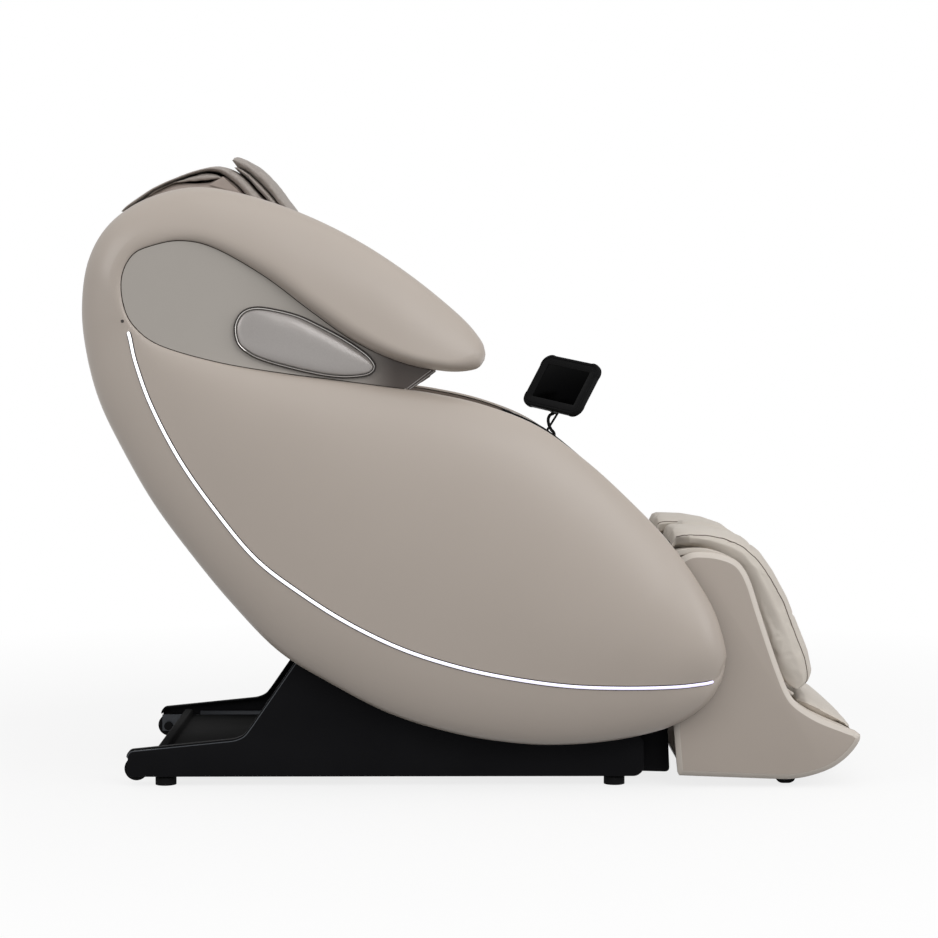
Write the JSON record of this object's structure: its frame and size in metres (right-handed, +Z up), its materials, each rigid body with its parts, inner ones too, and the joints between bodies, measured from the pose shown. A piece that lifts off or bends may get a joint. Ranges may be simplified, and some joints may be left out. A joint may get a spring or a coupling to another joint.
{
  "type": "massage chair",
  "caption": "Massage chair with curved side shells, a tilting cabin, a lifting and extending ottoman, a roller carriage and a tablet on a stalk.",
  "frame": {"origin": "on the floor, under the middle of the chair's box", "axes": "+X towards the feet, +Y towards the occupant's left, +Z up"},
  "size_m": [1.535, 0.8082, 1.2556],
  "materials": {
    "steel_painted": "satin powder coat",
    "steel_bright": "bright",
    "cover_black": "fine matt texture",
    "rubber": "matt",
    "wheel_rubber": "matt",
    "shell_taupe": "satin lacquer",
    "recess_grey": "satin metallic paint",
    "pod_silver": "satin",
    "bezel_dark": "dark chrome",
    "light": "white diffuser",
    "leather": "fine grain",
    "leather_grey": "fine grain",
    "ottoman_taupe": "satin lacquer",
    "tablet_black": "moulded",
    "screen": "glossy",
    "roller_dark": "moulded",
    "switch_red": "gloss",
    "key_grey": "satin"
  },
  "bodies": {
    "base": {"base_frame": "steel_painted", "base_cover_right": "cover_black", "base_cover_left": "cover_black", "base_tray": "cover_black", "front_cover": "cover_black", "rubber_feet": "rubber", "wheel_axles": "steel_bright", "power_box": "cover_black", "power_inlet": "cover_black", "pivot_pins": "steel_bright"},
    "wheel_right": {"transport_wheel_right": "wheel_rubber"},
    "wheel_left": {"transport_wheel_left": "wheel_rubber"},
    "switch_rocker": {"power_switch": "switch_red"},
    "tilt_barrel": {"tilt_motor": "cover_black"},
    "tilt_ram": {"tilt_rod": "steel_bright"},
    "cabin": {"seat_frame": "steel_painted", "side_shell_right": "shell_taupe", "side_shell_left": "shell_taupe", "recess_panel_right": "recess_grey", "recess_panel_left": "recess_grey", "pod_bezel_right": "bezel_dark", "pod_bezel_left": "bezel_dark", "pod_cover_right": "pod_silver", "pod_cover_left": "pod_silver", "light_strip_right": "light", "light_strip_left": "light", "inner_panel_right": "leather_grey", "inner_panel_left": "leather_grey", "arm_pad_right": "leather", "arm_pad_left": "leather", "rear_cover": "shell_taupe", "track_rails": "steel_bright", "back_cushion": "leather", "seat_cushion": "leather", "head_flap": "leather_grey", "control_panel": "cover_black", "tablet_stalk": "tablet_black", "tablet_lead": "tablet_black", "knee_motor": "cover_black"},
    "pillow": {"head_pillow": "leather_grey"},
    "power_key": {"power_button": "key_grey"},
    "tilt_key": {"tilt_button": "key_grey"},
    "tablet_swivel": {"tablet_mount": "tablet_black"},
    "tablet": {"tablet_case": "tablet_black", "tablet_glass": "screen"},
    "carriage": {"roller_carriage": "steel_painted"},
    "knead_right": {"knead_arm_right": "cover_black"},
    "knead_left": {"knead_arm_left": "cover_black"},
    "roller_ur": {"roller_upper_right": "roller_dark"},
    "roller_lr": {"roller_lower_right": "roller_dark"},
    "roller_ul": {"roller_upper_left": "roller_dark"},
    "roller_ll": {"roller_lower_left": "roller_dark"},
    "leg": {"knee_shaft": "steel_bright", "leg_frame": "steel_painted"},
    "ottoman": {"ottoman_shell": "ottoman_taupe", "leg_pad_right": "leather", "leg_pad_left": "leather", "leg_pad_centre": "leather", "foot_pad": "leather"}
  },
  "joints": [
    {"name": "cabin_tilt", "type": "hinge", "parent": "base", "child": "cabin", "pos_m": [0.05, 0, 0.2], "axis": [0, -1, 0], "range_deg": [0, 22]},
    {"name": "tilt_barrel_turn", "type": "hinge", "parent": "base", "child": "tilt_barrel", "pos_m": [-0.1, 0, 0.082], "axis": [0, -1, 0], "range_deg": [0, 20]},
    {"name": "tilt_rod_slide", "type": "slide", "parent": "tilt_barrel", "child": "tilt_ram", "axis": [-0.3385, 0, 0.941], "range_m": [-0.074, 0]},
    {"name": "leg_lift", "type": "hinge", "parent": "cabin", "child": "leg", "pos_m": [0.37, 0, 0.478], "axis": [0, -1, 0], "range_deg": [0, 75]},
    {"name": "ottoman_extend", "type": "slide", "parent": "leg", "child": "ottoman", "axis": [0.3401, 0, -0.9404], "range_m": [0, 0.105]},
    {"name": "pillow_flip", "type": "hinge", "parent": "cabin", "child": "pillow", "pos_m": [-0.49, 0, 1.24], "axis": [0, -1, 0], "range_deg": [0, 60]},
    {"name": "wheel_right_spin", "type": "hinge", "parent": "base", "child": "wheel_right", "pos_m": [-0.678, -0.2667, 0.034], "axis": [0, 1, 0], "continuous": true},
    {"name": "wheel_left_spin", "type": "hinge", "parent": "base", "child": "wheel_left", "pos_m": [-0.678, 0.2667, 0.034], "axis": [0, 1, 0], "continuous": true},
    {"name": "power_rocker", "type": "hinge", "parent": "base", "child": "switch_rocker", "pos_m": [-0.441, -0.1, 0.0813], "axis": [0, 1, 0], "range_deg": [-14, 0]},
    {"name": "power_key_press", "type": "slide", "parent": "cabin", "child": "power_key", "axis": [-0.4239, 0, -0.9057], "range_m": [0, 0.0015], "stiffness_N_per_m": 600, "springref_m": -0.0005},
    {"name": "tilt_key_press", "type": "slide", "parent": "cabin", "child": "tilt_key", "axis": [-0.4239, 0, -0.9057], "range_m": [0, 0.0015], "stiffness_N_per_m": 600, "springref_m": -0.0005},
    {"name": "tablet_turn", "type": "hinge", "parent": "cabin", "child": "tablet_swivel", "pos_m": [0.18148, 0.30867, 0.7335], "axis": [0, 0, 1], "range_deg": [-45, 45]},
    {"name": "tablet_tilt", "type": "hinge", "parent": "tablet_swivel", "child": "tablet", "pos_m": [0.18148, 0.30867, 0.74377], "axis": [0.6863, -0.7116, -0.1504], "range_deg": [-20, 20]},
    {"name": "carriage_travel", "type": "slide", "parent": "cabin", "child": "carriage", "axis": [-0.6358, 0, 0.7718], "range_m": [0, 0.3]},
    {"name": "knead_right_swing", "type": "hinge", "parent": "carriage", "child": "knead_right", "pos_m": [-0.23882, 0, 0.70859], "axis": [0, 1, 0], "range_deg": [-5, 5]},
    {"name": "knead_left_swing", "type": "hinge", "parent": "carriage", "child": "knead_left", "pos_m": [-0.23882, 0, 0.70859], "axis": [0, 1, 0], "range_deg": [-5, 5]},
    {"name": "roller_ur_spin", "type": "hinge", "parent": "knead_right", "child": "roller_ur", "pos_m": [-0.2708, 0, 0.76], "axis": [0, 1, 0], "continuous": true},
    {"name": "roller_lr_spin", "type": "hinge", "parent": "knead_right", "child": "roller_lr", "pos_m": [-0.19448, 0, 0.66736], "axis": [0, 1, 0], "continuous": true},
    {"name": "roller_ul_spin", "type": "hinge", "parent": "knead_left", "child": "roller_ul", "pos_m": [-0.2708, 0, 0.76], "axis": [0, 1, 0], "continuous": true},
    {"name": "roller_ll_spin", "type": "hinge", "parent": "knead_left", "child": "roller_ll", "pos_m": [-0.19448, 0, 0.66736], "axis": [0, 1, 0], "continuous": true}
  ],
  "couplings": [
    {"joint": "tilt_barrel_turn", "follows": "cabin_tilt", "ratio": 0.8905},
    {"joint": "tilt_rod_slide", "follows": "cabin_tilt", "m_per_rad": -0.1876},
    {"joint": "ottoman_extend", "follows": "leg_lift", "m_per_rad": 0.08},
    {"joint": "knead_left_swing", "follows": "knead_right_swing", "ratio": -1}
  ]
}
